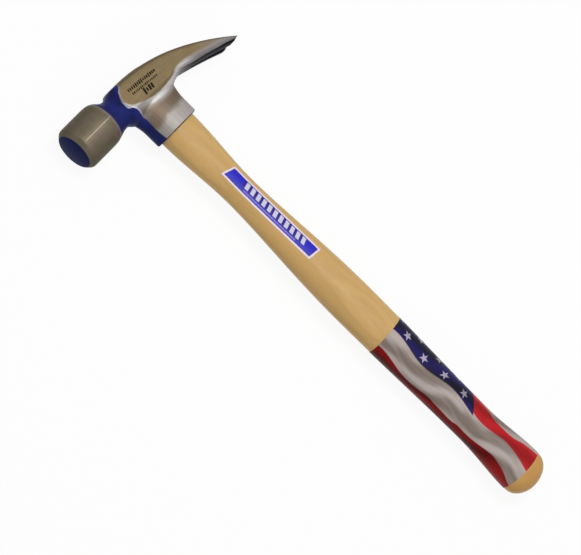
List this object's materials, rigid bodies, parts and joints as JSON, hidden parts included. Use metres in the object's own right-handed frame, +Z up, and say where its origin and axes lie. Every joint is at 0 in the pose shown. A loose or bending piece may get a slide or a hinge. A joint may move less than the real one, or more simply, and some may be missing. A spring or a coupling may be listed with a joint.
{
  "type": "framing hammer",
  "caption": "Framing hammer with a smooth striking face, a straight rip claw and a waisted wooden handle with a printed grip film.",
  "frame": {"origin": "centre of the bottom of the hammer's box as it lies on its side on a flat surface", "axes": "+X from the striking face to the claws, +Y from the butt to the head, +Z up, square to the cheeks"},
  "size_m": [0.1465, 0.4113, 0.0338],
  "materials": {
    "forged_steel": "forged steel, ground cheeks, blue paint on the neck and face",
    "hickory": "sanded hickory under clear lacquer",
    "wedge_wood": "end grain, bare",
    "wedge_steel": "bare mild steel",
    "label_print": "glossy printed vinyl",
    "grip_print": "glossy printed shrink film"
  },
  "bodies": {
    "root": {"head": "forged_steel", "handle": "hickory", "wood_wedge": "wedge_wood", "front_steel_wedge": "wedge_steel", "rear_steel_wedge": "wedge_steel", "handle_label": "label_print", "grip_film": "grip_print"}
  },
  "joints": []
}
